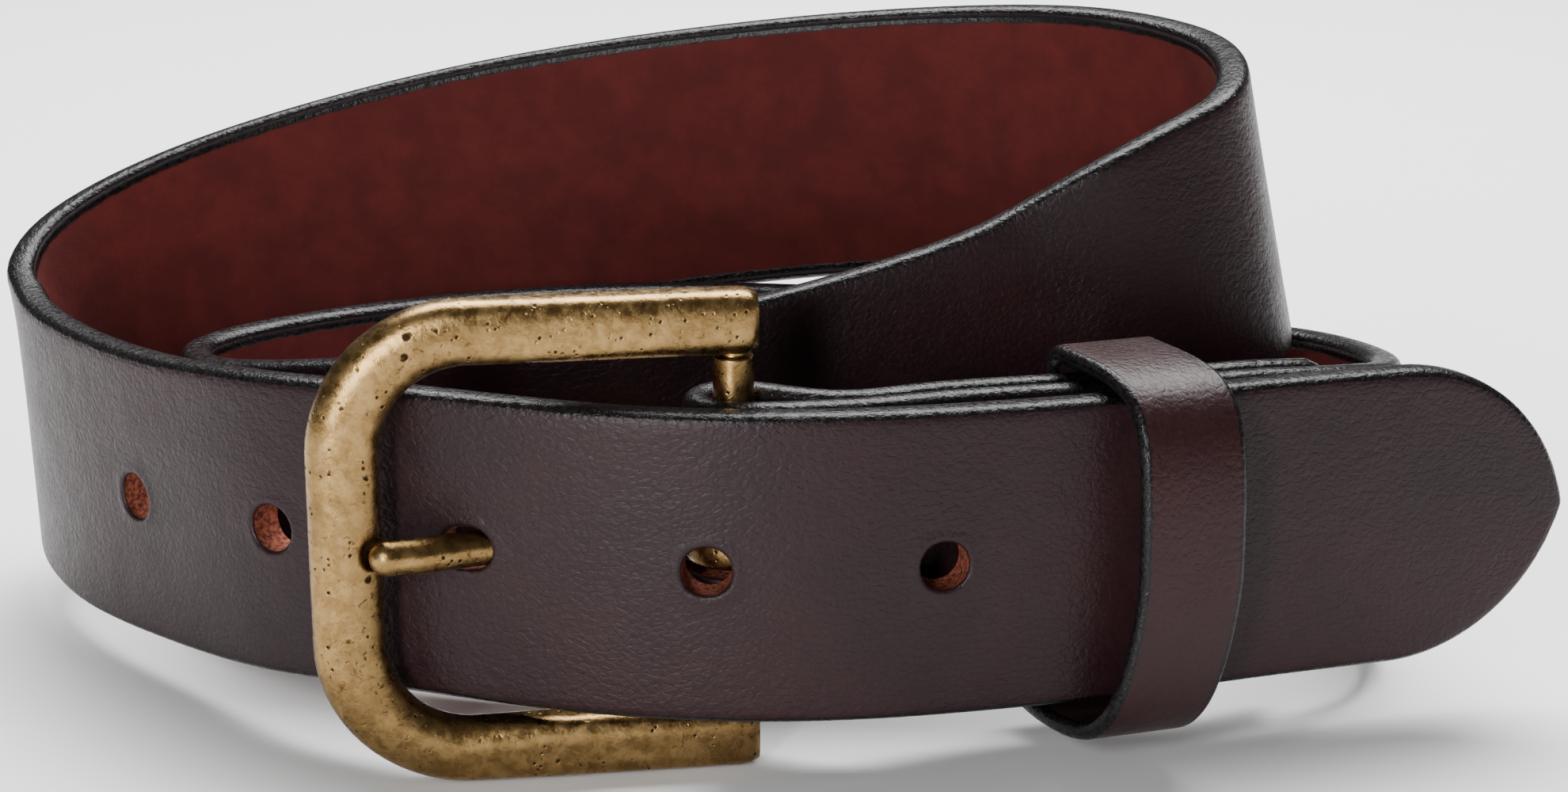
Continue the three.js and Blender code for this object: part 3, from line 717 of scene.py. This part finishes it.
def make_prong():
    control = np.array(PRONG_LINE, float)
    line = catmull_rom(control, np.linspace(0, len(control) - 1, 90), 0.5)
    tangent = unit(np.gradient(line, axis=0))
    tip_steps = np.radians(np.linspace(0, 90, 9))[1:]
    tip = [line[-1] + tangent[-1] * PRONG_RADIUS * math.sin(a) for a in tip_steps]
    scales = np.concatenate([np.ones(len(line)), np.maximum(np.cos(tip_steps), 0.02)])
    line = np.vstack([line, tip])
    normal = unit(np.stack([tangent[:, 1], -tangent[:, 0], 0 * tangent[:, 0]], 1))
    normal = np.vstack([normal, np.repeat(normal[-1:], len(tip), 0)])
    # Filed flats along the front of a round shank
    angles = np.linspace(0, 2 * math.pi, TURNED_SIDES, endpoint=False)
    flat = np.round(angles / math.radians(PRONG_FLAT)) * math.radians(PRONG_FLAT)
    filed = np.minimum(1, FLAT_REACH / np.cos(angles - flat))
    radius = PRONG_RADIUS * (1 - PRONG_FILING + PRONG_FILING * filed)
    a, b = radius * np.cos(angles), radius * np.sin(angles)
    rings = []
    for p, n, scale in zip(line, normal, scales):
        offset = np.outer(a * scale, n)
        offset[:, 2] += b * scale
        rings.append(p + offset)
    shank, faces = loft(rings)
    inner, outer, half = BAR_RADIUS + GAP, BAR_RADIUS + GAP + EYE_WALL, EYE_HEIGHT / 2
    eye_profile = []
    for a in np.linspace(0, 2 * math.pi, 20, endpoint=False):
        c, sn = math.cos(a), math.sin(a)
        eye_profile.append((
            (inner + outer) / 2 + math.copysign(abs(c) ** 0.6, c) * EYE_WALL / 2,
            math.copysign(abs(sn) ** 0.6, sn) * half - EYE_DROP))
    eye_rings = []
    for turn in np.linspace(0, 2 * math.pi, TURNED_SIDES, endpoint=False):
        eye_rings.append(np.array([(r * math.cos(turn), r * math.sin(turn), h) for r, h in eye_profile]))
    eye, eye_faces = loft(eye_rings, looped=True)
    faces = faces + [tuple(v + len(shank) for v in f) for f in eye_faces]
    piece = new_mesh("prong_cast", np.vstack([shank, eye]), faces, place=BUCKLE_PLACE)
    face_outward(piece)
    return piece


# The keeper, in its own frame: X along the strap, front at -Y
KEEPER_PLACE = (turn_about_z(KEEPER_TURN), np.array(KEEPER_CENTRE, float))


def bezier(p0, p1, p2, p3, count):
    f = np.linspace(0, 1, count)[:, None]
    p0, p1, p2, p3 = (np.array(p, float) for p in (p0, p1, p2, p3))
    return (1 - f) ** 3 * p0 + 3 * f * (1 - f) ** 2 * p1 + 3 * f ** 2 * (1 - f) * p2 + f ** 3 * p3


def keeper_path():
    """Points in YZ round the keeper's middle surface, evenly spaced."""
    h, r = KEEPER_HALF_HEIGHT, KEEPER_CORNER
    back, front = KEEPER_BACK, -KEEPER_FRONT
    arc = np.radians(np.linspace(0, 90, 24))
    upper = [np.array([[back, 0], [back, h - r]])]
    upper.append(np.stack([back - r + r * np.cos(arc), h - r + r * np.sin(arc)], 1)[1:])
    upper.append(bezier(
        (back - r, h), (-KEEPER_SHOULDER, h + KEEPER_CROWN), (front, h - KEEPER_CROWN), (front, 0), 80)[1:])
    upper = np.vstack(upper)
    path = np.vstack([upper, (upper * (1, -1))[::-1][1:-1]])
    closed = np.vstack([path, path[:1]])
    s = np.concatenate([[0], np.cumsum(np.linalg.norm(np.diff(closed, axis=0), axis=1))])
    even = np.linspace(0, s[-1], KEEPER_STEPS + 1)[:-1]
    return np.stack([np.interp(even, s, closed[:, k]) for k in (0, 1)], 1), s[-1]


def strip_section(width, thick, roll):
    """(x, h) round a strip's section, with rolled edges, and how far each is from an edge."""
    half, t = width / 2, thick / 2
    across = np.linspace(-1, 1, 9) * (half - roll)
    turn = np.radians(np.linspace(90, -90, 9))[1:-1]
    grain = [(x, t, half - abs(x)) for x in across]
    right = [(half - roll + roll * math.cos(a), t * math.sin(a), 0) for a in turn]
    flesh = [(x, -t, half - abs(x)) for x in across[::-1]]
    left = [(-x, h, d) for x, h, d in reversed(right)]
    return np.array(grain + right + flesh + left), len(across)


def make_keeper():
    path, length = keeper_path()
    after, before = np.roll(path, -1, 0), np.roll(path, 1, 0)
    tangent = unit(after - before)
    outward = np.stack([tangent[:, 1], -tangent[:, 0]], 1)
    section, face_count = strip_section(KEEPER_WIDTH, KEEPER_THICK, KEEPER_ROLL)
    lean_from = KEEPER_BACK - KEEPER_UPRIGHT
    share = np.clip((lean_from - path[:, 0]) / (lean_from + KEEPER_FRONT), 0, 1)
    share = share * share * (3 - 2 * share)
    rings, flat = [], []
    n = len(section)
    trail = KEEPER_DROOP * np.maximum(0, -path[:, 1] / KEEPER_HALF_HEIGHT) ** 1.5
    for k, (p, out, lean) in enumerate(zip(path, outward, share * KEEPER_LEAN - trail)):
        ring = np.empty((n, 3))
        ring[:, 0] = lean + section[:, 0]
        ring[:, 1:] = p + np.outer(section[:, 1], out)
        rings.append(ring)
        offset = np.where(section[:, 1] < 0, FLESH_OFFSET, 0)
        flat.append(np.stack([np.full(n, k * length / len(path)), section[:, 0] + offset, section[:, 1]], 1))
    points, faces = loft(rings, looped=True)
    piece = new_mesh("keeper_leather", points, faces, place=KEEPER_PLACE)
    count = len(path)
    is_back = section[:, 1] <= -KEEPER_THICK / 2 + 1e-6
    side = np.where(is_back, 1.0, np.where(section[:, 2] == 0, 0.5, 0.0))
    vertex_values(piece, "flat", np.concatenate(flat))
    vertex_values(piece, "edge", np.tile(section[:, 2], count))
    vertex_values(piece, "side", np.tile(side, count))
    vertex_values(piece, "wall", np.zeros(n * count))
    face_outward(piece)
    return piece, length


def make_staple():
    crown = KEEPER_BACK + KEEPER_THICK / 2 + GAP + STAPLE_RADIUS
    inside = KEEPER_BACK - KEEPER_THICK / 2 + STAPLE_START
    half, bend = STAPLE_SPAN / 2, STAPLE_BEND
    line = [(0, inside, -half), (0, crown - bend, -half)]
    line += [(0, crown - bend + bend * math.sin(a), -half + bend - bend * math.cos(a))
             for a in np.radians((30, 60, 90))]
    line += [(x, y, -z) for x, y, z in reversed(line)]
    line = np.array(line, float)
    tangent = unit(np.gradient(line, axis=0))
    rings = []
    for p, t in zip(line, tangent):
        side = np.array([1.0, 0, 0])
        up = np.cross(t, side)
        rings.append(np.array([p + STAPLE_RADIUS * (math.cos(a) * side + math.sin(a) * up)
                               for a in np.linspace(0, 2 * math.pi, WIRE_SIDES, endpoint=False)]))
    points, faces = loft(rings)
    piece = new_mesh("keeper_wire", points, faces, place=KEEPER_PLACE)
    face_outward(piece)
    return piece


# Chicago screws: Z runs out of the underlap's front
def screw_place(x):
    s = route.at_x(x, UNDERLAP_START - 1, FOLD_START - 1)
    origin, along, width, outward, _ = route.at(np.array([s]))
    return np.stack([along[0], -width[0], outward[0]], 1), origin[0]


def make_screw(index, x):
    place = screw_place(x)
    front, back = SKIVED_THICK / 2, -PLY_SPACING - SKIVED_THICK / 2
    top, foot = front + GAP, back + GAP
    bore, bore_end = SCREW_SHANK_RADIUS + GAP, top - SCREW_HEAD / 2
    seat, shank_end = back - GAP, front - SCREW_END_GAP
    post = [
        (0, top + SCREW_HEAD), (SCREW_CROWN_RADIUS, top + SCREW_HEAD), (SCREW_HEAD_RADIUS, top + SCREW_RIM),
        (SCREW_HEAD_RADIUS, top), (SCREW_POST_RADIUS, top), (SCREW_POST_RADIUS, foot),
        (bore, foot), (bore, bore_end), (0, bore_end),
    ]
    cap = [
        (0, shank_end), (SCREW_SHANK_RADIUS, shank_end), (SCREW_SHANK_RADIUS, seat),
        (SCREW_HEAD_RADIUS, seat), (SCREW_HEAD_RADIUS, seat - SCREW_RIM),
        (SCREW_CROWN_RADIUS, seat - SCREW_HEAD), (0, seat - SCREW_HEAD),
    ]
    post_piece = turned(f"post_{index}", rounded(post, SCREW_ROUNDING, 3), place)
    cap_piece = turned(f"cap_{index}", rounded(cap, SCREW_ROUNDING, 3), place)
    reach, face = 2 * SCREW_HEAD_RADIUS, seat - SCREW_HEAD
    cutter = box_mesh(f"slot_{index}", (-reach, -SCREW_SLOT, face - 1),
                      (reach, SCREW_SLOT, face + SCREW_SLOT), place)
    cut(cap_piece, cutter)
    return post_piece, cap_piece


def box_mesh(name, low, high, place):
    (a, b, c), (d, e, f) = low, high
    points = [(x, y, z) for x in (a, d) for y in (b, e) for z in (c, f)]
    faces = [(0, 1, 3, 2), (4, 6, 7, 5), (0, 4, 5, 1), (2, 3, 7, 6), (0, 2, 6, 4), (1, 5, 7, 3)]
    piece = new_mesh(name, points, faces, smooth=False, place=place)
    face_outward(piece)
    return piece


def cut(piece, cutter):
    """Takes the cutter's shape out of a piece and keeps the cut's edges sharp."""
    modifier = piece.modifiers.new("cut", "BOOLEAN")
    modifier.object = cutter
    modifier.operation = "DIFFERENCE"
    modifier.solver = "EXACT"
    evaluated = piece.evaluated_get(bpy.context.evaluated_depsgraph_get())
    made = bpy.data.meshes.new_from_object(evaluated)
    piece.modifiers.clear()
    piece.data = made
    bpy.data.objects.remove(cutter)
    made.set_sharp_from_angle(angle=math.radians(40))


# Materials
MILLIMETRES = (1000, 1000, 1000)


class Nodes:
    """Short calls for building a node tree; a number or a socket is given for each input."""

    def __init__(self, name):
        self.material = bpy.data.materials.new(name)
        self.material.use_nodes = True
        self.tree = self.material.node_tree
        self.tree.nodes.clear()
        self.output = self.tree.nodes.new("ShaderNodeOutputMaterial")
        self.shader = self.tree.nodes.new("ShaderNodeBsdfPrincipled")
        self.tree.links.new(self.shader.outputs[0], self.output.inputs["Surface"])

    def put(self, socket, value):
        if isinstance(value, bpy.types.NodeSocket):
            self.tree.links.new(value, socket)
        else:
            socket.default_value = value

    def attribute(self, name, output="Fac"):
        node = self.tree.nodes.new("ShaderNodeAttribute")
        node.attribute_name = name
        return node.outputs[output]

    def position(self):
        node = self.tree.nodes.new("ShaderNodeTexCoord")
        return node.outputs["Object"]

    def math(self, operation, a, b):
        node = self.tree.nodes.new("ShaderNodeMath")
        node.operation = operation
        self.put(node.inputs[0], a)
        self.put(node.inputs[1], b)
        return node.outputs[0]

    def add(self, a, b):
        return self.math("ADD", a, b)

    def minus(self, a, b):
        return self.math("SUBTRACT", a, b)

    def times(self, a, b):
        return self.math("MULTIPLY", a, b)

    def larger(self, a, b):
        return self.math("MAXIMUM", a, b)

    def scaled(self, vector, factors):
        """A vector times one factor per axis."""
        node = self.tree.nodes.new("ShaderNodeVectorMath")
        node.operation = "MULTIPLY"
        self.put(node.inputs[0], vector)
        node.inputs[1].default_value = factors
        return node.outputs[0]

    def noise(self, vector, scale, detail, roughness, distortion=0.0):
        node = self.tree.nodes.new("ShaderNodeTexNoise")
        self.put(node.inputs["Vector"], vector)
        node.inputs["Scale"].default_value = scale
        node.inputs["Detail"].default_value = detail
        node.inputs["Roughness"].default_value = roughness
        node.inputs["Distortion"].default_value = distortion
        return node.outputs["Fac"]

    def cells(self, vector, scale, feature="F1"):
        node = self.tree.nodes.new("ShaderNodeTexVoronoi")
        node.feature = feature
        self.put(node.inputs["Vector"], vector)
        node.inputs["Scale"].default_value = scale
        return node.outputs["Distance"]

    def ramp(self, value, low, high, to_low=0.0, to_high=1.0):
        """A smooth step from one number to another between two values."""
        node = self.tree.nodes.new("ShaderNodeMapRange")
        node.interpolation_type = "SMOOTHSTEP"
        self.put(node.inputs["Value"], value)
        for key, number in (("From Min", low), ("From Max", high), ("To Min", to_low), ("To Max", to_high)):
            self.put(node.inputs[key], number)
        return node.outputs["Result"]

    def mix(self, factor, a, b):
        """From colour a to colour b."""
        node = self.tree.nodes.new("ShaderNodeMix")
        node.data_type = "RGBA"
        self.put(node.inputs[0], factor)
        self.put(node.inputs[6], a)
        self.put(node.inputs[7], b)
        return node.outputs[2]

    def blend(self, factor, a, b):
        """The same for plain numbers."""
        node = self.tree.nodes.new("ShaderNodeMix")
        self.put(node.inputs[0], factor)
        self.put(node.inputs[2], a)
        self.put(node.inputs[3], b)
        return node.outputs[0]

    def bump(self, height, strength, distance, below=None):
        node = self.tree.nodes.new("ShaderNodeBump")
        node.inputs["Strength"].default_value = strength
        node.inputs["Distance"].default_value = distance
        self.put(node.inputs["Height"], height)
        if below is not None:
            self.put(node.inputs["Normal"], below)
        return node.outputs[0]

    def finish(self, **inputs):
        for key, value in inputs.items():
            self.put(self.shader.inputs[key.replace("_", " ")], value)
        return self.material


def rgb(red, green, blue):
    """A linear colour from 0..255 sRGB values."""
    values = []
    for c in (red, green, blue):
        c /= 255
        values.append(c / 12.92 if c <= 0.04045 else ((c + 0.055) / 1.055) ** 2.4)
    return (*values, 1)


# Colours of the leather and the metals
EDGE_BLACK, EDGE_WORN = rgb(9, 7, 8), rgb(24, 21, 23)
WALL_DARK, WALL_LIGHT = rgb(62, 26, 20), rgb(138, 76, 56)
PORE = rgb(12, 8, 9)
SCUFF = rgb(40, 16, 15)
BRASS_DEEP, BRASS_BRIGHT = rgb(124, 97, 58), rgb(156, 127, 82)
BRASS_TARNISH, BRASS_PIT = rgb(98, 74, 46), rgb(44, 30, 21)
STEEL_DARK, STEEL_BRIGHT = rgb(150, 149, 147), rgb(178, 177, 174)
FLOOR_WHITE = rgb(244, 244, 244)


def leather_material(name, grain_colours, flesh_colours, edge_band):
    """Leather in flat millimetres: edge is the distance to the edge, side is 1 on the flesh."""
    n = Nodes(name)
    flat = n.attribute("flat", "Vector")
    edge, side, wall = n.attribute("edge"), n.attribute("side"), n.attribute("wall")
    is_flesh = n.ramp(side, 0.6, 0.9)
    in_wall = n.ramp(wall, 0.3, 0.8)
    broad = n.noise(flat, 0.03, 4, 0.6)
    cloudy = n.noise(flat, 0.2, 5, 0.62)
    fine = n.noise(flat, 2.2, 3, 0.6)
    # The burnished band along the edge, with a wandering border
    wander = n.times(n.minus(n.noise(flat, 0.5, 4, 0.65), 0.5), 0.7)
    band_width = n.blend(is_flesh, 0.85, edge_band)
    band = n.ramp(n.minus(band_width, n.add(edge, wander)), -0.15, 0.3)
    # Colour
    grain = n.mix(n.ramp(broad, 0.35, 0.68), *grain_colours)
    grain = n.mix(n.ramp(fine, 0.35, 0.7, 0.25, 0), grain, PORE)
    scuffs = n.times(n.ramp(n.noise(flat, 0.9, 5, 0.7, 0.6), 0.63, 0.72), n.ramp(broad, 0.45, 0.6))
    flesh = n.mix(n.ramp(cloudy, 0.3, 0.72), *flesh_colours)
    flesh = n.mix(n.ramp(fine, 0.35, 0.6, 0.28, 0), flesh, flesh_colours[0])
    flesh = n.mix(n.times(scuffs, 0.3), flesh, SCUFF)
    colour = n.mix(is_flesh, grain, flesh)
    colour = n.mix(band, colour, n.mix(n.ramp(fine, 0.4, 0.7), EDGE_BLACK, EDGE_WORN))
    colour = n.mix(in_wall, colour, n.mix(n.ramp(fine, 0.3, 0.7), WALL_DARK, WALL_LIGHT))
    # Gloss
    waxed = n.ramp(n.add(n.times(cloudy, 0.6), fine), 0.5, 1.1, 0.34, 0.47)
    rough = n.blend(is_flesh, waxed, 0.8)
    rough = n.blend(band, rough, n.ramp(fine, 0.3, 0.7, 0.24, 0.42))
    rough = n.blend(in_wall, rough, 0.9)
    # Surface: pebbles and creases on the grain, nap on the flesh, ripples along the band
    pebbles = n.cells(flat, 2.1, "SMOOTH_F1")
    creases = n.cells(n.scaled(flat, (0.7, 1.0, 1.0)), 1.25, "DISTANCE_TO_EDGE")
    skin = n.add(n.times(pebbles, 0.9), n.times(n.ramp(creases, 0, 0.12), 0.3))
    skin = n.add(skin, n.noise(flat, 1.1, 1, 0.4))
    nap = n.add(fine, n.times(n.noise(flat, 0.8, 2, 0.5), 1.5))
    normal = n.bump(n.blend(is_flesh, skin, nap), 0.4, 0.00013)
    normal = n.bump(n.noise(flat, 0.3, 2, 0.4), 0.25, 0.0003, normal)
    normal = n.bump(n.times(n.noise(flat, 1.4, 3, 0.6), band), 0.4, 0.0003, normal)
    return n.finish(Base_Color=colour, Roughness=rough, Normal=normal, Specular_IOR_Level=0.2)


def brass_material():
    n = Nodes("antique_brass")
    where = n.scaled(n.position(), MILLIMETRES)
    broad = n.noise(where, 0.08, 4, 0.6)
    cloudy = n.noise(where, 0.6, 6, 0.7, 0.3)
    fine = n.noise(where, 2.6, 4, 0.6)
    # Dark pits in groups, and stains
    small_pits = n.times(n.ramp(n.cells(where, 1.1), 0.3, 0.12),
                         n.ramp(n.noise(where, 0.45, 3, 0.6), 0.52, 0.62))
    large_pits = n.times(n.ramp(n.cells(where, 0.45), 0.26, 0.14),
                         n.ramp(n.noise(where, 0.3, 3, 0.6), 0.56, 0.64))
    pit = n.larger(small_pits, large_pits)
    stain = n.times(n.ramp(n.noise(where, 1.1, 6, 0.7, 0.8), 0.55, 0.66), n.ramp(broad, 0.4, 0.56))
    dark = n.larger(pit, n.times(stain, 0.65))
    colour = n.mix(n.ramp(cloudy, 0.35, 0.65), BRASS_DEEP, BRASS_BRIGHT)
    colour = n.mix(n.ramp(broad, 0.42, 0.72, 0, 0.55), colour, BRASS_TARNISH)
    colour = n.mix(dark, colour, BRASS_PIT)
    rough = n.blend(dark, n.ramp(cloudy, 0.3, 0.7, 0.22, 0.36), 0.6)
    height = n.minus(n.add(n.times(fine, 0.2), n.times(cloudy, 0.9)), n.times(pit, 1.4))
    normal = n.bump(height, 0.4, 0.0002)
    normal = n.bump(broad, 0.25, 0.0009, normal)
    return n.finish(Base_Color=colour, Roughness=rough, Normal=normal, Metallic=1.0)


def steel_material():
    n = Nodes("staple_steel")
    streak = n.noise(n.scaled(n.position(), MILLIMETRES), 3.0, 3, 0.6)
    colour = n.mix(n.ramp(streak, 0.3, 0.7), STEEL_DARK, STEEL_BRIGHT)
    rough = n.ramp(streak, 0.3, 0.7, 0.26, 0.4)
    normal = n.bump(streak, 0.1, 0.00005)
    return n.finish(Base_Color=colour, Roughness=rough, Normal=normal, Metallic=1.0)


strap_leather = leather_material(
    "strap_leather",
    grain_colours=(rgb(32, 17, 20), rgb(42, 21, 24)),
    flesh_colours=(rgb(72, 23, 21), rgb(88, 30, 27)),
    edge_band=2.0)
keeper_leather = leather_material(
    "keeper_leather",
    grain_colours=(rgb(36, 17, 19), rgb(45, 20, 22)),
    flesh_colours=(rgb(34, 15, 15), rgb(46, 20, 19)),
    edge_band=1.2)
antique_brass = brass_material()
staple_steel = steel_material()


def dress(piece, body, material, node):
    """Gives a piece its material and its body, and hides the imported part of the node it stands for."""
    piece.data.materials.clear()
    piece.data.materials.append(material)
    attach(piece, body)
    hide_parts(node)


dress(strap, "strap", strap_leather, "strap")
dress(make_frame(), "frame", antique_brass, "buckle_frame")
dress(make_heel_bar(), "frame", antique_brass, "heel_bar")
dress(make_prong(), "prong", antique_brass, "prong")
keeper, keeper_length = make_keeper()
dress(keeper, "keeper", keeper_leather, "keeper_loop")
dress(make_staple(), "keeper", staple_steel, "keeper_staple")
for index, x in enumerate(SCREW_STATIONS, 1):
    post, cap = make_screw(index, x)
    dress(post, "strap", antique_brass, f"screw_post_{index}")
    dress(cap, "strap", antique_brass, f"screw_cap_{index}")


# Floor and light
def make_floor():
    bpy.ops.mesh.primitive_plane_add(size=FLOOR_SIZE, location=(0, 0, -FLOOR_DROP))
    floor = bpy.context.object
    floor.name = "floor"
    n = Nodes("floor")
    floor.data.materials.append(n.finish(Base_Color=FLOOR_WHITE, Roughness=0.9))


def softbox(name, place, target, size, power):
    data = bpy.data.lights.new(name, "AREA")
    data.shape = "RECTANGLE"
    data.size, data.size_y = size
    data.energy = power
    lamp = bpy.data.objects.new(name, data)
    bpy.context.scene.collection.objects.link(lamp)
    lamp.location = place
    lamp.rotation_euler = (Vector(target) - Vector(place)).to_track_quat("-Z", "Y").to_euler()


def make_light():
    world = bpy.data.worlds.new("studio")
    world.use_nodes = True
    background = world.node_tree.nodes["Background"]
    background.inputs["Color"].default_value = (1, 1, 1, 1)
    background.inputs["Strength"].default_value = WORLD_STRENGTH
    bpy.context.scene.world = world
    softbox("behind", place=(0.05, 0.34, 0.7), target=(0, 0.04, 0), size=(0.8, 0.5), power=22)
    softbox("front_left", place=(-0.16, -0.5, 0.16), target=(-0.01, -0.03, 0.03), size=(0.07, 0.3), power=2.6)


make_floor()
make_light()
